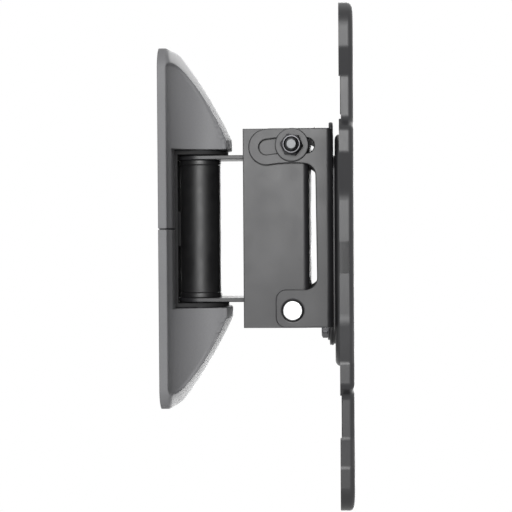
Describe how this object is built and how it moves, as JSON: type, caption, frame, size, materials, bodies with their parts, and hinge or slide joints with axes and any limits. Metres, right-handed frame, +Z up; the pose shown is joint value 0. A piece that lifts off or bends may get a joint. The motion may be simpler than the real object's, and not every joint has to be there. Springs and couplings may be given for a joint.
{
  "type": "full motion tv wall mount",
  "caption": "Short full motion TV wall mount: covered wall bracket, swivelling link, swivel channel, slotted tilt bracket and drawn VESA plate with a levelling joint.",
  "frame": {"origin": "on the wall plane, midway between the two halves of the cover and on the mount's plane of symmetry", "axes": "+X out from the wall to the television, +Z up, +Y across; at rest the link points straight out"},
  "size_m": [0.0965, 0.226, 0.226],
  "materials": {
    "black_paint": "satin black powder coat on sheet steel",
    "black_cover": "satin black moulded plastic",
    "black_nylon": "matte black nylon",
    "zinc": "bright zinc plate",
    "black_zinc": "black oxide steel"
  },
  "bodies": {
    "wall_unit": {"wall_plate": "black_paint", "wall_bracket": "black_paint", "bracket_rivets": "zinc", "barrel_gusset": "black_paint", "wall_barrel": "black_paint", "wall_barrel_bushes": "black_nylon", "wall_thrust_washers": "black_nylon", "wall_pivot_bolt": "black_zinc", "wall_pivot_washers": "black_zinc", "wall_pivot_nut": "black_zinc", "upper_cover": "black_cover", "lower_cover": "black_cover"},
    "link_arm": {"upper_link_strap": "black_paint", "lower_link_strap": "black_paint", "head_pivot_bolt": "black_zinc", "head_pivot_washers": "black_zinc", "head_pivot_nut": "black_zinc"},
    "swivel_head": {"swivel_channel": "black_paint", "barrel_spine": "black_paint", "head_barrel": "black_paint", "head_barrel_bushes": "black_nylon", "tilt_pins": "zinc", "tilt_clamp_bolts": "zinc", "tilt_clamp_washers": "black_paint", "tilt_clamp_nuts": "black_zinc"},
    "tilt_head": {"tilt_bracket": "black_paint", "level_pivot_bolt": "black_zinc", "level_pivot_washer": "black_zinc", "level_pivot_nut": "black_zinc"},
    "tv_plate": {"vesa_plate": "black_paint", "level_friction_pad": "black_nylon", "level_lock_bolt": "black_zinc", "level_lock_washer": "black_zinc", "level_lock_nut": "black_zinc"}
  },
  "joints": [
    {"name": "arm_swing", "type": "hinge", "parent": "wall_unit", "child": "link_arm", "pos_m": [0.018, 0, 0], "axis": [0, 0, 1], "range_deg": [-40, 40]},
    {"name": "head_swivel", "type": "hinge", "parent": "link_arm", "child": "swivel_head", "pos_m": [0.055, 0, 0], "axis": [0, 0, 1], "range_deg": [-25, 25]},
    {"name": "head_tilt", "type": "hinge", "parent": "swivel_head", "child": "tilt_head", "pos_m": [0.0666, 0, -0.0408], "axis": [0, 1, 0], "range_deg": [-4.8, 8.5]},
    {"name": "level_roll", "type": "hinge", "parent": "tilt_head", "child": "tv_plate", "pos_m": [0.0866, 0, -0.013], "axis": [1, 0, 0], "range_deg": [-3.5, 3.5]}
  ]
}
